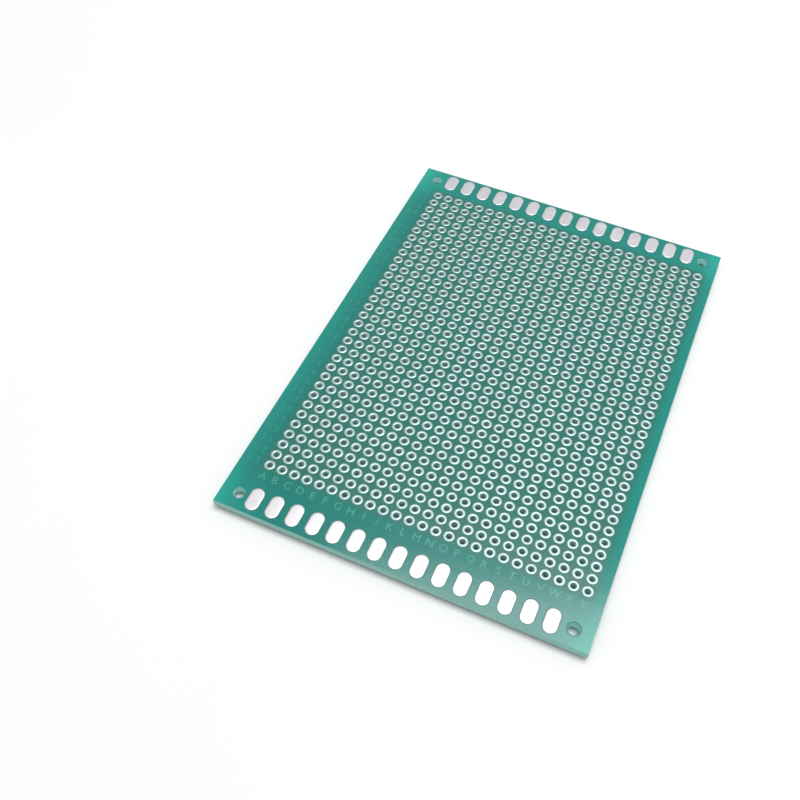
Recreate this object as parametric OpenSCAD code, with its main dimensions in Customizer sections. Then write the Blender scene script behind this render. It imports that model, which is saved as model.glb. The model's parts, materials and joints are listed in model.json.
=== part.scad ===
// Universal prototyping board, single sided, lying with its pads up.
// The origin is the centre of the underside. X runs across the columns of holes, from column A
// to the last column. Y runs along them, from the lettered near end to the far end. Z is up.

/* [Board] */
// Width of the board, across the columns
board_w = 70; // [50:1:90]
// Length of the board, along the columns
board_l = 100; // [60:1:130]
// Thickness of the bare glass-epoxy sheet
sheet_t = 1.55; // [0.6:0.05:3.2]
// Thickness of the lacquer coat on each face
mask_t = 0.025; // [0.015:0.005:0.05]
// Gap between the lacquer and each pad or lead hole that it goes round
mask_gap = 0.075; // [0.03:0.005:0.12]

/* [Lead holes] */
// Distance between neighbouring lead holes
pitch = 2.54; // [2.54:0.01:5.08]
// Diameter of a lead hole
drill_d = 1.05; // [0.7:0.05:1.2]
// Distance from the left edge of the board to column A
first_column_inset = 5.65; // [4:0.05:12]
// Least distance from the last column to the right edge of the board
last_column_inset = 3.2; // [2:0.05:12]
// Distance from row 1 to the far edge pads
far_row_gap = 2.85; // [2:0.05:10]
// Least distance from the last row to the near edge pads, with room for a line of letters
near_row_gap = 4.95; // [2:0.05:12]

/* [Pads] */
// Outer diameter of the ring round a lead hole
ring_d = 2.1; // [1.7:0.05:2.2]
// Width of an edge pad
edge_pad_w = 2.6; // [1.5:0.1:3.4]
// Length of an edge pad, with its round ends
edge_pad_l = 4.75; // [3.5:0.05:7]
// Distance between neighbouring edge pads
edge_pad_pitch = 4; // [3.8:0.02:6]
// Distance from the far edge of the board to the far edge pads
far_edge_gap = 0.4; // [0.2:0.05:2]
// Distance from the near edge of the board to the near edge pads
near_edge_gap = 0.8; // [0.2:0.05:2]
// How far the near edge pads lie off the middle of the board, towards column A
near_pad_shift = 0.3; // [0:0.05:0.5]
// Thickness of the copper foil
copper_t = 0.035; // [0.018:0.001:0.07]
// Thickness of the tin on the copper
tin_t = 0.04; // [0.01:0.005:0.08]
// Width of the slope at the edge of the tin
tin_slope = 0.12; // [0.04:0.01:0.14]

/* [Corner holes] */
// Diameter of a corner hole
corner_hole_d = 2.2; // [1.6:0.1:3.4]
// Gap between the lacquer and a corner hole, which keeps a screw's head off its edge
corner_mask_gap = 0.2; // [0.2:0.05:0.5]
// Distance from a side edge of the board to the corner holes
corner_inset_x = 3.5; // [2.5:0.05:6]
// Distance from a short edge of the board to the corner holes
corner_inset_y = 3.25; // [2.5:0.05:5]
// Least gap between a corner hole and the edge pad next to it
corner_pad_gap = 1; // [0.8:0.1:4]

/* [Hidden] */
$fn = 36;
// Faces, from the underside up
sheet_z = mask_t;
pad_face_z = sheet_z + sheet_t;
// Edge pads: how many fit between the corner holes, and the middle of each row
first_pad_inset = corner_inset_x + corner_hole_d / 2 + corner_pad_gap + edge_pad_w / 2;
edge_pads = floor((board_w - 2 * first_pad_inset) / edge_pad_pitch) + 1;
far_pads = [0, board_l / 2 - far_edge_gap - edge_pad_l / 2];
near_pads = [-near_pad_shift, -board_l / 2 + near_edge_gap + edge_pad_l / 2];
// Lead holes: where the first one lies, and how many columns and rows fit
column_a_x = -board_w / 2 + first_column_inset;
row_1_y = far_pads.y - edge_pad_l / 2 - far_row_gap;
last_row_limit = near_pads.y + edge_pad_l / 2 + near_row_gap;
columns = floor((board_w - first_column_inset - last_column_inset) / pitch) + 1;
rows = floor((row_1_y - last_row_limit) / pitch) + 1;

// ---- Places ----

module at_lead_holes() {
    for (column = [0 : columns - 1], row = [0 : rows - 1]) {
        translate([column_a_x + column * pitch, row_1_y - row * pitch, 0])
            children();
    }
}

module at_corner_holes() {
    for (side = [-1, 1], end = [-1, 1]) {
        translate([side * (board_w / 2 - corner_inset_x), end * (board_l / 2 - corner_inset_y), 0])
            children();
    }
}

module at_edge_pads(middle) {
    for (i = [0 : edge_pads - 1]) {
        translate([middle.x + (i - (edge_pads - 1) / 2) * edge_pad_pitch, middle.y, 0])
            children();
    }
}

// ---- Flat shapes ----

module board_outline() {
    square([board_w, board_l], center = true);
}

// A strip with round ends along Y, widened by a margin all round
module edge_pad_outline(margin) {
    square([edge_pad_w + 2 * margin, edge_pad_l - edge_pad_w], center = true);
    for (end = [-1, 1]) {
        translate([0, end * (edge_pad_l - edge_pad_w) / 2])
            circle(d = edge_pad_w + 2 * margin);
    }
}

// Section of a pad from start_x to end_x: foil with tin on it that slopes down at its edges.
// A pad with no hole starts at its middle, where the tin has no slope.
module pad_section(start_x, end_x, start_slope) {
    polygon([
        [start_x, 0],
        [end_x, 0],
        [end_x, copper_t],
        [end_x - tin_slope, copper_t + tin_t],
        [start_x + start_slope, copper_t + tin_t],
        if (start_slope > 0) [start_x, copper_t],
    ]);
}

// ---- Pieces ----

module laminate() {
    color([0.70, 0.80, 0.66])
        translate([0, 0, sheet_z])
            linear_extrude(sheet_t)
                difference() {
                    board_outline();
                    at_lead_holes()
                        circle(d = drill_d);
                    at_corner_holes()
                        circle(d = corner_hole_d);
                }
}

module pad_side_mask() {
    color([0.20, 0.62, 0.55])
        translate([0, 0, pad_face_z])
            linear_extrude(mask_t)
                difference() {
                    board_outline();
                    at_lead_holes()
                        circle(d = ring_d + 2 * mask_gap);
                    at_corner_holes()
                        circle(d = corner_hole_d + 2 * corner_mask_gap);
                    at_edge_pads(far_pads)
                        edge_pad_outline(mask_gap);
                    at_edge_pads(near_pads)
                        edge_pad_outline(mask_gap);
                }
}

module component_side_mask() {
    color([0.20, 0.62, 0.55])
        linear_extrude(mask_t)
            difference() {
                board_outline();
                at_lead_holes()
                    circle(d = drill_d + 2 * mask_gap);
                at_corner_holes()
                    circle(d = corner_hole_d + 2 * corner_mask_gap);
            }
}

module ring_pads() {
    color([0.80, 0.81, 0.80])
        translate([0, 0, pad_face_z])
            at_lead_holes()
                rotate_extrude()
                    pad_section(drill_d / 2, ring_d / 2, tin_slope);
}

// One edge pad: a bar along Y with a half round at each end
module edge_pad() {
    straight = edge_pad_l - edge_pad_w;
    rotate([90, 0, 0])
        linear_extrude(straight, center = true) {
            pad_section(0, edge_pad_w / 2, 0);
            mirror([1, 0])
                pad_section(0, edge_pad_w / 2, 0);
        }
    for (turn = [0, 180]) {
        rotate([0, 0, turn])
            translate([0, straight / 2, 0])
                rotate_extrude(angle = 180)
                    pad_section(0, edge_pad_w / 2, 0);
    }
}

module edge_pad_row(middle) {
    color([0.82, 0.82, 0.82])
        translate([0, 0, pad_face_z])
            at_edge_pads(middle)
                edge_pad();
}

module near_edge_pads() {
    edge_pad_row(near_pads);
}

module far_edge_pads() {
    edge_pad_row(far_pads);
}

laminate();
pad_side_mask();
component_side_mask();
ring_pads();
near_edge_pads();
far_edge_pads();
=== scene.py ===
"""The looks of a bare prototyping board: finishes, tinned pads, etched lettering and printing.

Everything is in metres in the frame of the CAD model: the origin is the centre of the
underside, X runs across the columns of holes, Y along them, and Z points out of the pad side.
"""
import json
import math
import random

import bpy
from mathutils import Matrix, Quaternion, Vector


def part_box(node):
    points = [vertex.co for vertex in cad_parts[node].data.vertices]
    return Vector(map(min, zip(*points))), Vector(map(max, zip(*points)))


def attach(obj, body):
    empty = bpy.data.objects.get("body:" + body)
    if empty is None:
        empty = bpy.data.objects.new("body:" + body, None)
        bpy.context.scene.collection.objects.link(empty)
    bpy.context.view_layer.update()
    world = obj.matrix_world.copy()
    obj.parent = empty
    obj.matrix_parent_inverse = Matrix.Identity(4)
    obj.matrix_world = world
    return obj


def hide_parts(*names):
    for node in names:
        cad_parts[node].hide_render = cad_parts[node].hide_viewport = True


MM = 0.001
MICRON = 0.001 * MM

# ---- Pads ----

PITCH = 2.54 * MM
EDGE_PAD_PITCH = 4.0 * MM
# Tin is smooth up to this many degrees between its faces
TIN_CRISP_OVER = 75

RING_SEED = 7
RING_SEGMENTS = 24
# A ring's height varies between these shares of the CAD model's, and its crest wanders sideways
RING_HEIGHTS = (0.86, 1.0)
CREST_WANDER = 0.05 * MM
# Shoulders of a ring: how far inside its edges they lie, and how high, as a share of the crest
RING_SHOULDER = 0.09 * MM
OUTER_SHOULDER_RISE = 0.8
INNER_SHOULDER_RISE = 0.78
# The most that one side of a ring is lower than the other, as a share of its height
RING_SLUMP = 0.24

NEAR_PADS_SEED = 11
FAR_PADS_SEED = 12
PAD_END_SEGMENTS = 16
# Loops of an edge pad: how far inside its outline, in mm, and how high, as a share of the crown
PAD_CROWN = ((0.0, 0.0), (0.04, 0.55), (0.12, 0.80), (0.28, 0.93), (0.55, 0.98), (0.85, 1.0))
# The crown, the ripple along it and the most that one end stands above the other, as shares of
# the CAD model's height. The ripple turns by so many radians in a millimetre.
PAD_FILL = 0.94
PAD_RIPPLE = 0.035
PAD_LEAN = 0.015
RIPPLE_TURN = 2.4

# ---- Lettering and printing ----

LETTERS = "ABCDEFGHIJKLMNOPQRSTUVWXY"
# From the last hole of a column to its letter, and from the first hole of a row to its number
LETTER_GAP = 2.60 * MM
NUMBER_GAP = 3.33 * MM
DIGIT_STEP = 1.5 * MM
# Etched signs stand up through the lacquer's face from a root just under it
ETCHED_HEIGHT = 1.50 * MM
ETCH_RELIEF = 0.018 * MM
ETCH_ROOT = 0.010 * MM
PRINTED_HEIGHT = 1.75 * MM
INK_THICKNESS = 0.010 * MM
DASH_LENGTH = 0.95 * MM
DASH_WIDTH = 0.24 * MM
DASH_EVERY = 4

# ---- Colours ----

# Where there are two, soft clouds mix them
LACQUER_GREENS = ((0.001, 0.182, 0.153, 1), (0.002, 0.212, 0.178, 1))
# Painted shade: the lacquer among the pads, a deeper green than on the margins
PAINTED_SHADE_GREENS_AMONG_PADS = ((0.014, 0.142, 0.110, 1), (0.024, 0.172, 0.132, 1))
# Painted light near the edges of the pad side's lacquer
PAINTED_GLOW_GREEN = (0.010, 0.370, 0.300, 1)
CLOTH_GREEN = (0.02, 0.27, 0.22, 1)
GHOST_GREEN = (0.05, 0.36, 0.30, 1)
LETTER_GREENS = ((0.03, 0.28, 0.23, 1), (0.09, 0.42, 0.35, 1))
NUMBER_GREENS = ((0.01, 0.23, 0.19, 1), (0.04, 0.32, 0.27, 1))
RESIN_GREENS = ((0.16, 0.39, 0.345, 1), (0.31, 0.61, 0.535, 1))
NICK_GREEN = (0.42, 0.70, 0.62, 1)
SHEET_FACE_GREEN = (0.05, 0.22, 0.18, 1)
# Walls of the holes, paler with painted light: in the middle of the board, and with more painted
# light near a corner
PAINTED_LIGHT_HOLE_WALL_GREENS = ((0.42, 0.64, 0.62, 1), (0.45, 0.87, 0.81, 1))
# One solder tin in three copies whose colours differ by painted light: the rings darker and tinted
# green, the near pads darker, the far pads brighter
RING_TINS_PAINTED_DIM = ((0.345, 0.475, 0.47, 1), (0.474, 0.63, 0.625, 1))
NEAR_TINS_PAINTED_DIM = ((0.565, 0.565, 0.58, 1), (0.69, 0.68, 0.705, 1))
FAR_TINS_PAINTED_BRIGHT = ((0.67, 0.675, 0.70, 1), (0.82, 0.815, 0.85, 1))
INK_WHITES = ((0.55, 0.70, 0.66, 1), (0.84, 0.87, 0.84, 1))
FLOOR_WHITES = ((0.93, 0.93, 0.93, 1), (0.95, 0.95, 0.95, 1))

# ---- Lacquer and sheet ----

# How far apart the bands of Blender's wave texture are at scale 1
WAVE_LENGTH = 0.314
WARP_SPACING = 0.62 * MM
WEFT_SPACING = 0.78 * MM
# How strongly the glass cloth shows in the lacquer's relief and in its colour
CLOTH_IN_RELIEF = 0.12
CLOTH_IN_COLOUR = 0.05
LACQUER_CLOUDS = 9 * MM
# Roughness that the lacquer among the pads has on top of the margins'
DULLER_AMONG_PADS = 0.06
# Softness of the border of the grid, in the lacquer's painted shade and dullness and in the pads
# that show through it
GRID_BORDER = 1.6 * MM
GHOST_BORDER = 0.2 * MM
GHOST_BLUR = 0.12 * MM
GHOST_STRENGTH = 0.35
# Painted light, for light that the sheet lets in: how far it reaches from a side, and from a corner
# or the far end
SIDE_REACH = 4.0 * MM
CORNER_REACH = 12.0 * MM
# How strongly the painted light shows along a side, how much it gains at a corner, and at the far
# end
SIDE_GLOW = 0.36
CORNER_GLOW = 0.54
FAR_END_GLOW = 0.2
# How strongly nicks show on the sawn sides
NICKS_SHOWING = 0.25
# How deep in the sheet the looks of its sawn sides and of its face begin, and where they are full
SAWN_FROM, SAWN_TO = 0.3 * MM, 0.1 * MM
FACE_FROM, FACE_TO = 0.03 * MM, 0.01 * MM

# ---- Studio, fitted to the photograph, with angles in degrees ----

CAMERA_TARGET = Vector((-14.03, -14.55, 0.0)) * MM
CAMERA_DISTANCE = 185.7 * MM
CAMERA_AZIMUTH = 21.87
CAMERA_ELEVATION = 53.34
CAMERA_ROLL = 2.35
CAMERA_LENS = 42.65
CAMERA_CLIP = 10 * MM
FLOOR_SIZE = 6.0
FLOOR_GAP = 0.6 * MM
SOFTBOX_DISTANCE = 0.70
SOFTBOX_AZIMUTH = 155.9
SOFTBOX_ELEVATION = 78.4
SOFTBOX_TURN = 35.2
SOFTBOX_SIZE = (0.432, 0.346)
SOFTBOX_POWER = 2.60
WORLD_STRENGTH = 0.62


# ---- Facts from the frame ----

class Board:
    """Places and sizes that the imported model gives."""

    def __init__(self, record):
        holes = next(m for m in record["mounts"] if m["name"] == "lead_holes")
        self.grid_w = holes["dims"]["spacing_x_mm"] * MM
        self.grid_l = holes["dims"]["spacing_y_mm"] * MM
        self.hole_r = holes["dims"]["hole_r_mm"] * MM
        self.grid_x = holes["pos_m"][0] - self.grid_w / 2
        self.grid_y = holes["pos_m"][1] + self.grid_l / 2
        self.columns = round(self.grid_w / PITCH) + 1
        self.rows = round(self.grid_l / PITCH) + 1
        rings_low, rings_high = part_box("ring_pads")
        self.ring_r = (rings_high.x - rings_low.x - self.grid_w) / 2
        self.pad_face_z = rings_low.z
        self.pad_top_z = rings_high.z
        self.mask_top_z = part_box("pad_side_mask")[1].z
        self.ink_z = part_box("component_side_mask")[0].z
        sheet_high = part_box("laminate")[1]
        self.half_w, self.half_l = sheet_high.x, sheet_high.y

    def hole(self, column, row, z=0.0):
        """Centre of a lead hole. Column and row count from 0, and may lie between holes."""
        return Vector((self.grid_x + column * PITCH, self.grid_y - row * PITCH, z))


# ---- Meshes ----

def mesh_from(name, points, faces, crisp_over=None):
    """A mesh of these faces, smooth up to that many degrees between faces, or flat."""
    mesh = bpy.data.meshes.new(name)
    mesh.from_pydata(points, [], faces)
    mesh.validate()
    if crisp_over is not None:
        mesh.shade_smooth()
        mesh.set_sharp_from_angle(angle=math.radians(crisp_over))
    return mesh


def new_piece(mesh, material):
    """A piece of the board that takes its mesh's name and rides on the only body."""
    piece = bpy.data.objects.new(mesh.name, mesh)
    bpy.context.scene.collection.objects.link(piece)
    mesh.materials.clear()
    mesh.materials.append(material)
    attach(piece, "root")
    return piece


def join_loops(faces, first, count, a, b):
    """Quads between loops a and b of a round form whose loops each have that many points."""
    for i in range(count):
        j = (i + 1) % count
        faces.append((first + a * count + i, first + a * count + j,
                      first + b * count + j, first + b * count + i))


# ---- Tinned pads ----

def add_ring(points, faces, board, centre, luck):
    """One closed ring of tin: crowned, a little uneven, and thicker on one side."""
    height = (board.pad_top_z - board.pad_face_z) * luck.uniform(*RING_HEIGHTS)
    crest = (board.hole_r + board.ring_r) / 2 + luck.uniform(-CREST_WANDER, CREST_WANDER)
    section = (
        (board.ring_r, 0.0),
        (board.ring_r - RING_SHOULDER, OUTER_SHOULDER_RISE * height),
        (crest, height),
        (board.hole_r + RING_SHOULDER, INNER_SHOULDER_RISE * height),
        (board.hole_r, 0.0),
    )
    thick_side = luck.uniform(0, 2 * math.pi)
    slump = luck.uniform(0, RING_SLUMP)
    first = len(points)
    for radius, rise in section:
        for i in range(RING_SEGMENTS):
            angle = 2 * math.pi * i / RING_SEGMENTS
            share = 1 - slump * (1 - math.cos(angle - thick_side)) / 2
            out = Vector((math.cos(angle) * radius, math.sin(angle) * radius, rise * share))
            points.append(centre + out)
    for k in range(len(section)):
        join_loops(faces, first, RING_SEGMENTS, k, (k + 1) % len(section))


def ring_pads(board, material):
    """All the rings in one piece."""
    luck = random.Random(RING_SEED)
    points, faces = [], []
    for column in range(board.columns):
        for row in range(board.rows):
            add_ring(points, faces, board, board.hole(column, row, board.pad_face_z), luck)
    mesh = mesh_from("tinned_rings", points, faces, crisp_over=TIN_CRISP_OVER)
    piece = new_piece(mesh, material)
    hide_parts("ring_pads")


def strip_outline(width, length, inset):
    """Points of a strip along Y with round ends, drawn in by an inset."""
    radius = width / 2 - inset
    straight = (length - width) / 2
    outline = []
    for middle_y, start in ((straight, 0), (-straight, math.pi)):
        for i in range(PAD_END_SEGMENTS + 1):
            angle = math.pi * i / PAD_END_SEGMENTS + start
            x, y = radius * math.cos(angle), radius * math.sin(angle)
            outline.append(Vector((x, middle_y + y, 0)))
    return outline


def add_edge_pad(points, faces, centre, width, length, height, luck):
    """One closed edge pad: a broad low crown of tin with a soft ripple in it."""
    first = len(points)
    phase = luck.uniform(0, 2 * math.pi)
    lean = luck.uniform(-PAD_LEAN, PAD_LEAN)
    for inset, share in PAD_CROWN:
        for p in strip_outline(width, length, inset * MM):
            ripple = PAD_RIPPLE * math.sin(phase + RIPPLE_TURN * p.y / MM)
            rise = height * share * (PAD_FILL + ripple + lean * p.y / length)
            points.append(centre + p + Vector((0, 0, rise)))
    count = 2 * (PAD_END_SEGMENTS + 1)
    for k in range(len(PAD_CROWN) - 1):
        join_loops(faces, first, count, k, k + 1)
    # The crown closes across its last loop in strips, and the underside the other way up
    last = first + (len(PAD_CROWN) - 1) * count
    for i in range(PAD_END_SEGMENTS):
        faces.append((last + i, last + i + 1, last + count - 2 - i, last + count - 1 - i))
        faces.append((first + i + 1, first + i, first + count - 1 - i, first + count - 2 - i))


def edge_pads(node, name, material, seed):
    """One row of edge pads, where the CAD node of that row has them."""
    low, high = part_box(node)
    middle = (low + high) / 2
    length = high.y - low.y
    count = round((high.x - low.x) / EDGE_PAD_PITCH)
    width = high.x - low.x - (count - 1) * EDGE_PAD_PITCH
    luck = random.Random(seed)
    points, faces = [], []
    for i in range(count):
        x = middle.x + (i - (count - 1) / 2) * EDGE_PAD_PITCH
        centre = Vector((x, middle.y, low.z))
        add_edge_pad(points, faces, centre, width, length, high.z - low.z, luck)
    mesh = mesh_from(name, points, faces, crisp_over=TIN_CRISP_OVER)
    piece = new_piece(mesh, material)
    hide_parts(node)


# ---- Lettering and printing ----

def glyph_mesh(sign):
    """A sign from Blender's own font, as a solid of any size and depth."""
    text = bpy.data.curves.new("sign", "FONT")
    text.body = sign
    text.resolution_u = 3
    text.extrude = 0.5
    holder = bpy.data.objects.new("sign", text)
    bpy.context.scene.collection.objects.link(holder)
    bpy.context.view_layer.update()
    graph = bpy.context.evaluated_depsgraph_get()
    mesh = bpy.data.meshes.new_from_object(holder.evaluated_get(graph))
    bpy.data.objects.remove(holder)
    bpy.data.curves.remove(text)
    return mesh


class Signs:
    """Plain capital letters and digits as solid strokes, all cut to one height."""

    def __init__(self, height, thickness):
        self.height = height
        self.thickness = thickness
        self.made = {}

    def shape(self, sign):
        """Points and faces of a sign: its middle at x 0 and y 0, from z 0 up."""
        if sign not in self.made:
            mesh = glyph_mesh(sign)
            points = [v.co.copy() for v in mesh.vertices]
            faces = [tuple(f.vertices) for f in mesh.polygons]
            bpy.data.meshes.remove(mesh)
            low = Vector([min(p[i] for p in points) for i in range(3)])
            high = Vector([max(p[i] for p in points) for i in range(3)])
            scale = self.height / (high.y - low.y)
            middle = (low + high) / 2
            points = [Vector(((p.x - middle.x) * scale, (p.y - middle.y) * scale,
                              (p.z - low.z) / (high.z - low.z) * self.thickness))
                      for p in points]
            self.made[sign] = points, faces
        return self.made[sign]

    def add(self, points, faces, sign, place, turned):
        """Adds a sign at a place. A turned one faces down, with its top towards the near edge."""
        first = len(points)
        flip = Matrix.Rotation(math.pi, 3, "X") if turned else Matrix.Identity(3)
        shape_points, shape_faces = self.shape(sign)
        points.extend(place + flip @ p for p in shape_points)
        faces.extend(tuple(first + i for i in face) for face in shape_faces)


def letter_row(name, board, signs, z, turned):
    """The column letters, one beyond the last hole of each column."""
    points, faces = [], []
    for column, letter in enumerate(LETTERS[:board.columns]):
        place = board.hole(column, board.rows - 1, z) - Vector((0, LETTER_GAP, 0))
        signs.add(points, faces, letter, place, turned)
    return mesh_from(name, points, faces)


def number_column(name, board, signs, z, turned):
    """The row numbers, one beside the first hole of each row."""
    points, faces = [], []
    for row in range(board.rows):
        digits = str(row + 1).zfill(2)
        for i, digit in enumerate(digits):
            place = board.hole(0, row, z)
            place.x += -NUMBER_GAP + (i - 0.5) * DIGIT_STEP
            signs.add(points, faces, digit, place, turned)
    return mesh_from(name, points, faces)


def add_bar(points, faces, centre, z_low, z_high, along_x):
    """A closed flat bar along X or Y."""
    x, y = (DASH_LENGTH, DASH_WIDTH) if along_x else (DASH_WIDTH, DASH_LENGTH)
    first = len(points)
    for z in (z_low, z_high):
        for i, j in ((-1, -1), (1, -1), (1, 1), (-1, 1)):
            points.append(Vector((centre.x + i * x / 2, centre.y + j * y / 2, z)))
    faces.extend([(first, first + 3, first + 2, first + 1),
                  (first + 4, first + 5, first + 6, first + 7)])
    for i in range(4):
        j = (i + 1) % 4
        faces.append((first + i, first + j, first + 4 + j, first + 4 + i))


def grid_dashes(board):
    """Short printed lines between holes, along every so many columns and rows."""
    points, faces = [], []
    low, high = board.ink_z, board.ink_z + INK_THICKNESS
    for column in range(0, board.columns, DASH_EVERY):
        for row in range(board.rows - 1):
            add_bar(points, faces, board.hole(column, row + 0.5), low, high, along_x=False)
    for row in range(0, board.rows, DASH_EVERY):
        for column in range(board.columns - 1):
            add_bar(points, faces, board.hole(column + 0.5, row), low, high, along_x=True)
    return mesh_from("printed_grid_lines", points, faces)


def thinned_lacquer(board, node, material):
    """The component side's lacquer, with room under it for the ink that lies on it."""
    mesh = node.data.copy()
    mesh.name = "component_side_lacquer"
    for vertex in mesh.vertices:
        vertex.co.z = max(vertex.co.z, board.ink_z + INK_THICKNESS)
    piece = new_piece(mesh, material)
    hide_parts("component_side_mask")


# ---- Finishes ----

def by_identifier(sockets):
    """Sockets by the identifiers that tell apart those of one name."""
    return {socket.identifier: socket for socket in sockets}


class Finish:
    """A material built of nodes. Most methods add a node and give back its output."""

    def __init__(self, name, metallic=0.0):
        self.material = bpy.data.materials.new(name)
        self.material.use_nodes = True
        self.tree = self.material.node_tree
        self.shader = self.tree.nodes["Principled BSDF"]
        self.shader.inputs["Metallic"].default_value = metallic
        self.place = self.tree.nodes.new("ShaderNodeTexCoord").outputs["Object"]

    def set(self, socket, value):
        """Links an output to an input, or sets the input's own value."""
        if isinstance(value, bpy.types.NodeSocket):
            self.tree.links.new(value, socket)
        else:
            socket.default_value = value

    def math(self, operation, a, b, c=0.0):
        """Arithmetic on outputs or plain numbers."""
        node = self.tree.nodes.new("ShaderNodeMath")
        node.operation = operation
        for socket, value in zip(node.inputs, (a, b, c)):
            self.set(socket, value)
        return node.outputs[0]

    def vector(self, operation, a, b=(0, 0, 0)):
        """The same on vectors."""
        node = self.tree.nodes.new("ShaderNodeVectorMath")
        node.operation = operation
        self.set(node.inputs[0], a)
        self.set(node.inputs[1], b)
        return node.outputs["Value" if operation == "LENGTH" else "Vector"]

    def noise(self, size, detail=2.0, stretch=(1, 1, 1)):
        """Noise from 0 to 1 with features about that large, in metres."""
        node = self.tree.nodes.new("ShaderNodeTexNoise")
        node.inputs["Scale"].default_value = 1 / size
        node.inputs["Detail"].default_value = detail
        self.set(node.inputs["Vector"], self.vector("MULTIPLY", self.place, stretch))
        return node.outputs["Fac"]

    def threads(self, axis, spacing):
        """Soft bands across an axis, as far apart as the threads of a glass cloth."""
        node = self.tree.nodes.new("ShaderNodeTexWave")
        node.bands_direction = axis
        node.inputs["Scale"].default_value = WAVE_LENGTH / spacing
        node.inputs["Distortion"].default_value = 1.2
        node.inputs["Detail Scale"].default_value = 0.4
        self.set(node.inputs["Vector"], self.place)
        return node.outputs["Fac"]

    def ramp(self, value, start, end, low, high):
        """Low where value is at start or before it, high from end on, and smooth between."""
        node = self.tree.nodes.new("ShaderNodeMapRange")
        node.interpolation_type = "SMOOTHSTEP"
        self.set(node.inputs["Value"], value)
        node.inputs["From Min"].default_value = start
        node.inputs["From Max"].default_value = end
        node.inputs["To Min"].default_value = low
        node.inputs["To Max"].default_value = high
        return node.outputs["Result"]

    def spread(self, value, low, high):
        """Maps 0 to 1 on low to high."""
        return self.ramp(value, 0, 1, low, high)

    def step(self, value, start, end):
        """Maps start to end on 0 to 1."""
        return self.ramp(value, start, end, 0, 1)

    def up_to(self, value, limit, far, close=0.0):
        """0 where value is short of a limit by far or more, and 1 where by close or less."""
        return self.step(value, limit - far, limit - close)

    def mix(self, share, a, b):
        """Colour a where share is 0, b where it is 1."""
        node = self.tree.nodes.new("ShaderNodeMix")
        node.data_type = "RGBA"
        inputs = by_identifier(node.inputs)
        self.set(inputs["Factor_Float"], share)
        self.set(inputs["A_Color"], a)
        self.set(inputs["B_Color"], b)
        return by_identifier(node.outputs)["Result_Color"]

    def parts(self, vector):
        """The X, Y and Z of a vector."""
        node = self.tree.nodes.new("ShaderNodeSeparateXYZ")
        self.set(node.inputs[0], vector)
        return tuple(node.outputs)

    def colour(self, value):
        """Sets the finish's colour."""
        self.set(self.shader.inputs["Base Color"], value)

    def roughness(self, value):
        """Sets the finish's roughness."""
        self.set(self.shader.inputs["Roughness"], value)

    def bump(self, height, depth):
        """Relief of that depth, in metres, where height is 1."""
        node = self.tree.nodes.new("ShaderNodeBump")
        node.inputs["Distance"].default_value = depth
        self.set(node.inputs["Height"], height)
        self.set(self.shader.inputs["Normal"], node.outputs["Normal"])


def to_nearest_hole(finish, board):
    """Distance from the axis of the nearest point of the hole grid, in metres."""
    corner = board.hole(-0.5, board.rows - 0.5)
    cell = finish.vector("MULTIPLY", finish.vector("SUBTRACT", finish.place, corner),
                         (1 / PITCH, 1 / PITCH, 0))
    off = finish.vector("SUBTRACT", finish.vector("FRACTION", cell), (0.5, 0.5, 0))
    return finish.math("MULTIPLY", finish.vector("LENGTH", off), PITCH)


def inside_grid(finish, board, soft):
    """1 within the grid of holes, falling to 0 over a soft border round it."""
    middle = (board.hole(-0.5, board.rows - 0.5) + board.hole(board.columns - 0.5, -0.5)) / 2
    away = finish.vector("ABSOLUTE", finish.vector("SUBTRACT", finish.place, middle))
    x, y, _ = finish.parts(away)
    half_w, half_l = board.columns * PITCH / 2, board.rows * PITCH / 2
    over_x = finish.step(x, half_w - soft / 2, half_w + soft / 2)
    over_y = finish.step(y, half_l - soft / 2, half_l + soft / 2)
    return finish.math("SUBTRACT", 1.0, finish.math("MAXIMUM", over_x, over_y))


def painted_corner_light(finish, board):
    """Mask of painted light: 1 at the board's corners, falling to 0 some way off."""
    x, y, _ = finish.parts(finish.vector("ABSOLUTE", finish.place))
    return finish.math("MULTIPLY", finish.up_to(x, board.half_w, CORNER_REACH),
                       finish.up_to(y, board.half_l, CORNER_REACH))


def painted_edge_light(finish, board):
    """Painted light that the sheet lets in: some along its long sides, and more at its corners.

    The far end, where the pads lie closest to the edge, has a little painted light all along.
    """
    x = finish.parts(finish.vector("ABSOLUTE", finish.place))[0]
    y = finish.parts(finish.place)[1]
    side = finish.math("MULTIPLY", finish.up_to(x, board.half_w, SIDE_REACH), SIDE_GLOW)
    far_end = finish.up_to(y, board.half_l, CORNER_REACH, CORNER_REACH / 2)
    glow = finish.math("MULTIPLY_ADD", painted_corner_light(finish, board), CORNER_GLOW, side)
    return finish.math("MULTIPLY_ADD", far_end, FAR_END_GLOW, glow)


def lacquer(finish, green, duller=0.0):
    """Glossy lacquer of a green: a shallow orange peel, over glass cloth that shows faintly.

    Duller is what it has in roughness on top of the usual.
    """
    cloth = finish.math("ADD", finish.threads("X", WARP_SPACING), finish.threads("Y", WEFT_SPACING))
    peel = finish.noise(size=1.6 * MM, detail=1.0)
    finish.bump(finish.math("MULTIPLY_ADD", cloth, CLOTH_IN_RELIEF, peel), depth=5 * MICRON)
    sheen = finish.spread(finish.noise(size=6 * MM), low=0.12, high=0.16)
    finish.roughness(finish.math("ADD", sheen, duller))
    finish.colour(finish.mix(finish.math("MULTIPLY", cloth, CLOTH_IN_COLOUR), green, CLOTH_GREEN))


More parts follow.
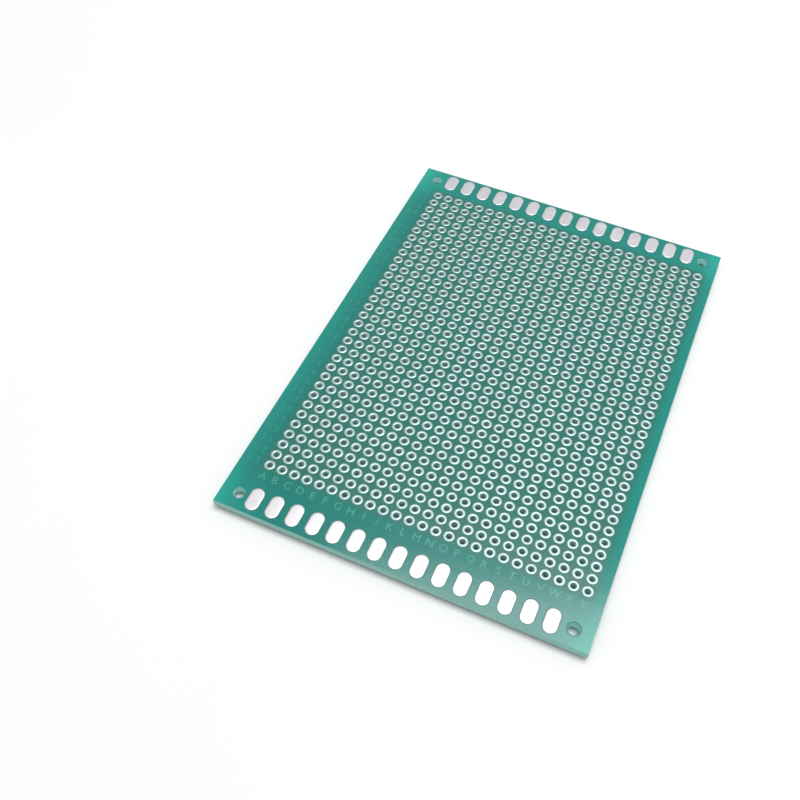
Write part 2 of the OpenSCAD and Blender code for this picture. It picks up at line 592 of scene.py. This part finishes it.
def pad_side_lacquer(board):
    """Green lacquer, a little duller among the pads than on the bare margins, with painted shade
    deepening its green among the pads and painted light near the edges.
    """
    finish = Finish("pad_side_lacquer")
    grid = inside_grid(finish, board, GRID_BORDER)
    margin = finish.mix(finish.noise(LACQUER_CLOUDS), *LACQUER_GREENS)
    # Painted light along the long sides, at the corners and along the far end
    painted_light_rim = finish.mix(painted_edge_light(finish, board), margin, PAINTED_GLOW_GREEN)
    # Painted shade: a deeper green among the pads
    among = finish.mix(finish.noise(size=5 * MM), *PAINTED_SHADE_GREENS_AMONG_PADS)
    duller = finish.math("MULTIPLY", grid, DULLER_AMONG_PADS)
    lacquer(finish, finish.mix(grid, painted_light_rim, among), duller)
    return finish.material


def component_side_lacquer(board):
    """The same lacquer, with the pads of the other side showing through as pale rings."""
    finish = Finish("component_side_lacquer")
    green = finish.mix(finish.noise(LACQUER_CLOUDS), *LACQUER_GREENS)
    near = finish.step(to_nearest_hole(finish, board), start=board.ring_r + GHOST_BLUR,
                       end=board.ring_r - GHOST_BLUR)
    ghost = finish.math("MULTIPLY", near, inside_grid(finish, board, GHOST_BORDER))
    lacquer(finish, finish.mix(finish.math("MULTIPLY", ghost, GHOST_STRENGTH), green, GHOST_GREEN))
    return finish.material


def etched_lacquer(name, greens):
    """Lacquer over copper lettering: paler, since the metal behind it throws light back."""
    finish = Finish(name)
    finish.colour(finish.mix(finish.noise(size=1.2 * MM), *greens))
    finish.roughness(finish.spread(finish.noise(size=0.8 * MM), low=0.14, high=0.24))
    return finish.material


def glass_epoxy(board):
    """Bare sheet: plies of glass cloth along its sawn sides, paler in the holes with painted light,
    deep on top.
    """
    finish = Finish("glass_epoxy")
    plies = finish.noise(size=1.0 * MM, detail=3.0, stretch=(0.6, 0.6, 7))
    nicks = finish.noise(size=0.5 * MM, stretch=(2.5, 2.5, 0.3))
    resin = finish.mix(plies, *RESIN_GREENS)
    sawn = finish.mix(finish.math("MULTIPLY", nicks, NICKS_SHOWING), resin, NICK_GREEN)
    x, y, z = finish.parts(finish.vector("ABSOLUTE", finish.place))
    side = finish.math("MAXIMUM", finish.up_to(x, board.half_w, SAWN_FROM, SAWN_TO),
                       finish.up_to(y, board.half_l, SAWN_FROM, SAWN_TO))
    # Painted light on the walls of the holes near the corners
    hole_wall_painted_light = finish.step(painted_corner_light(finish, board), start=0.2, end=0.6)
    cut = finish.mix(side, finish.mix(hole_wall_painted_light, *PAINTED_LIGHT_HOLE_WALL_GREENS), sawn)
    face = finish.up_to(z, board.pad_face_z, FACE_FROM, FACE_TO)
    finish.colour(finish.mix(face, cut, SHEET_FACE_GREEN))
    finish.roughness(finish.spread(plies, low=0.5, high=0.8))
    finish.bump(finish.math("ADD", plies, nicks), depth=20 * MICRON)
    return finish.material


def tin(name, tins):
    """Satin solder tin with soft clouds in its sheen and a fine grain."""
    finish = Finish(name, metallic=1.0)
    finish.colour(finish.mix(finish.noise(size=1.1 * MM, detail=3.0), *tins))
    finish.roughness(finish.spread(finish.noise(size=0.7 * MM, detail=3.0), low=0.34, high=0.52))
    finish.bump(finish.noise(size=0.14 * MM, detail=3.0), depth=3 * MICRON)
    return finish.material


def printing_ink():
    """White ink, thin enough in places for the lacquer to tint it."""
    finish = Finish("white_ink")
    finish.colour(finish.mix(finish.noise(size=0.35 * MM), *INK_WHITES))
    finish.roughness(finish.spread(finish.noise(size=0.3 * MM), low=0.45, high=0.65))
    return finish.material


def pale_floor():
    """Dull white, with clouds so broad that it looks even."""
    finish = Finish("pale_floor")
    finish.colour(finish.mix(finish.noise(size=50 * MM), *FLOOR_WHITES))
    finish.roughness(0.8)
    return finish.material


# ---- Studio ----

def direction(azimuth, elevation):
    """Unit vector towards a point at that azimuth and elevation. Azimuth 0 is on -Y."""
    a, e = math.radians(azimuth), math.radians(elevation)
    return Vector((math.sin(a) * math.cos(e), -math.cos(a) * math.cos(e), math.sin(e)))


def facing(back, turn):
    """Rotation of a camera or light that looks along -back, turned about that line."""
    return (-back).to_track_quat("-Z", "Y") @ Quaternion((0, 0, 1), math.radians(turn))


def add_object(name, data, location=(0, 0, 0)):
    """Puts a camera, a light or the floor in the scene."""
    made = bpy.data.objects.new(name, data)
    made.location = location
    made.rotation_mode = "QUATERNION"
    bpy.context.scene.collection.objects.link(made)
    return made


def add_camera():
    """A camera where the photographer's was."""
    data = bpy.data.cameras.new("camera")
    data.lens = CAMERA_LENS
    data.clip_start = CAMERA_CLIP
    data.clip_end = 2 * FLOOR_SIZE
    back = direction(CAMERA_AZIMUTH, CAMERA_ELEVATION)
    camera = add_object("camera", data, CAMERA_TARGET + back * CAMERA_DISTANCE)
    camera.rotation_quaternion = facing(back, CAMERA_ROLL)
    bpy.context.scene.camera = camera


def add_softbox():
    """A large soft light that faces the board."""
    data = bpy.data.lights.new("key_softbox", "AREA")
    data.shape = "RECTANGLE"
    data.size, data.size_y = SOFTBOX_SIZE
    data.energy = SOFTBOX_POWER
    back = direction(SOFTBOX_AZIMUTH, SOFTBOX_ELEVATION)
    light = add_object("key_softbox", data, back * SOFTBOX_DISTANCE)
    light.rotation_quaternion = facing(back, SOFTBOX_TURN)


def add_surroundings():
    """Even white light from all round."""
    world = bpy.data.worlds.new("white_surroundings")
    world.use_nodes = True
    background = world.node_tree.nodes["Background"]
    background.inputs["Color"].default_value = (1, 1, 1, 1)
    background.inputs["Strength"].default_value = WORLD_STRENGTH
    bpy.context.scene.world = world


def add_floor(board):
    """A wide floor just below the board."""
    half = FLOOR_SIZE / 2
    z = board.ink_z - FLOOR_GAP
    corners = [(-half, -half, z), (half, -half, z), (half, half, z), (-half, half, z)]
    floor = add_object("floor", mesh_from("floor", corners, [(0, 1, 2, 3)]))
    floor.data.materials.append(pale_floor())


# ---- Assembly ----

def dress_sheets(board, nodes):
    """Finishes on the sheet and its two coats of lacquer."""
    finishes = {"laminate": glass_epoxy(board), "pad_side_mask": pad_side_lacquer(board)}
    for name, material in finishes.items():
        nodes[name].data.materials.clear()
        nodes[name].data.materials.append(material)
    thinned_lacquer(board, nodes["component_side_mask"], component_side_lacquer(board))


def add_pads(board):
    """Tin in place of the rings and of both rows of edge pads."""
    # The three tins differ only by painted light
    ring_pads(board, tin("ring_tin", RING_TINS_PAINTED_DIM))
    edge_pads("near_edge_pads", "tinned_near_pads",
              tin("near_edge_tin", NEAR_TINS_PAINTED_DIM), NEAR_PADS_SEED)
    edge_pads("far_edge_pads", "tinned_far_pads",
              tin("far_edge_tin", FAR_TINS_PAINTED_BRIGHT), FAR_PADS_SEED)


def add_signs(board):
    """Lettering etched under the lacquer of the pad side, and printed on the other side."""
    etched = Signs(ETCHED_HEIGHT, ETCH_ROOT + ETCH_RELIEF)
    root = board.mask_top_z - ETCH_ROOT
    new_piece(letter_row("etched_column_letters", board, etched, root, turned=False),
              etched_lacquer("etched_letters", LETTER_GREENS))
    new_piece(number_column("etched_row_numbers", board, etched, root, turned=False),
              etched_lacquer("etched_numbers", NUMBER_GREENS))
    printed = Signs(PRINTED_HEIGHT, INK_THICKNESS)
    face = board.ink_z + INK_THICKNESS
    ink = printing_ink()
    new_piece(letter_row("printed_column_letters", board, printed, face, turned=True),
              ink)
    new_piece(number_column("printed_row_numbers", board, printed, face, turned=True),
              ink)
    new_piece(grid_dashes(board), ink)


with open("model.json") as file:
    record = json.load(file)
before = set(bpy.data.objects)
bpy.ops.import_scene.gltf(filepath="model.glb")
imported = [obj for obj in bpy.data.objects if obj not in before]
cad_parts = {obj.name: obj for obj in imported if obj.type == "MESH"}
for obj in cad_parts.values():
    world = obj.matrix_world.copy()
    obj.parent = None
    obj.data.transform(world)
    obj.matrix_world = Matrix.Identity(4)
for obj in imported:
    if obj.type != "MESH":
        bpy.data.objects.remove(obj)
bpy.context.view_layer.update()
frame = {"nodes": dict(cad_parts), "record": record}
board = Board(frame["record"])
dress_sheets(board, frame["nodes"])
add_pads(board)
add_signs(board)
add_floor(board)
add_surroundings()
add_softbox()
add_camera()
bpy.context.scene.view_settings.view_transform = "Standard"
